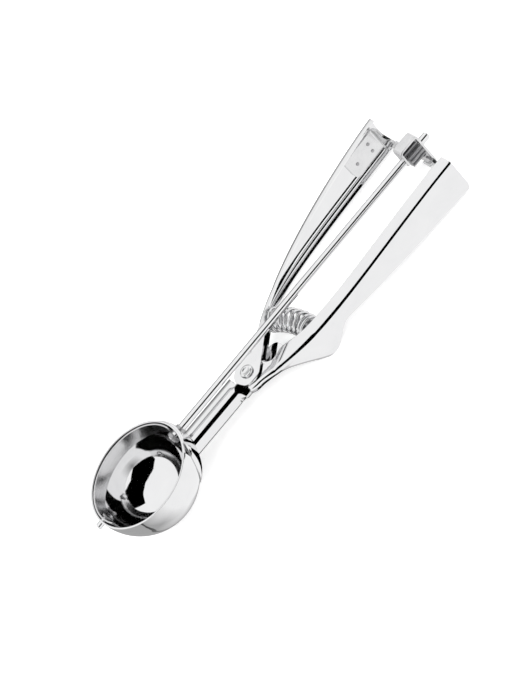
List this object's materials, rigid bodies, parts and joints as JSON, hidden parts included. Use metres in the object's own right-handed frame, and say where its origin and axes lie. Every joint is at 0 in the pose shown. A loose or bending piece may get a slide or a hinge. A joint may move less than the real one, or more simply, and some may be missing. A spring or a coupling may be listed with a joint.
{
  "type": "lever ice cream scoop",
  "caption": "Squeeze-handle ice cream scoop: hemispherical bowl on a channel neck, two curved handles on a rivet, and a rack-driven scraper blade.",
  "frame": {"origin": "centre of the tip pin's outer end face, on the scraper axis", "axes": "+X along the scraper axis from the bowl towards the handles' ends, +Y towards the moving lever, +Z out of the bowl's mouth"},
  "size_m": [0.2421, 0.0656, 0.0358],
  "materials": {
    "polished_steel": "mirror-polished stainless steel",
    "satin_steel": "satin stainless steel",
    "gear_steel": "sintered steel, lightly machined",
    "spring_steel": "bright spring wire"
  },
  "bodies": {
    "frame": {"bowl": "polished_steel", "bowl_saddle": "polished_steel", "rod_bush": "satin_steel", "neck": "polished_steel", "fixed_handle": "polished_steel", "pivot_rivet": "satin_steel", "tang_welds": "satin_steel", "rack_cage": "satin_steel", "coil_spring": "spring_steel", "fixed_spring_seat": "satin_steel"},
    "lever": {"lever_handle": "polished_steel", "rack": "satin_steel", "rack_welds": "satin_steel", "rack_stop": "satin_steel", "lever_spring_seat": "satin_steel"},
    "scraper": {"scraper_rod": "polished_steel", "rod_collar": "satin_steel", "pinion": "gear_steel", "scraper_blade": "polished_steel", "tip_pin": "satin_steel", "tip_collar": "satin_steel"}
  },
  "joints": [
    {"name": "lever_squeeze", "type": "hinge", "parent": "frame", "child": "lever", "pos_m": [0.1013, 0, -0.0112], "axis": [0, 0, -1], "range_deg": [0, 6.3], "stiffness_Nm_per_rad": 1.2, "springref_deg": -11.46, "deforming": ["coil_spring"]},
    {"name": "scraper_turn", "type": "hinge", "parent": "frame", "child": "scraper", "pos_m": [0.0313, 0, 0], "axis": [-1, 0, 0], "range_deg": [0, 174.05]}
  ],
  "couplings": [
    {"joint": "scraper_turn", "follows": "lever_squeeze", "ratio": 27.625}
  ]
}
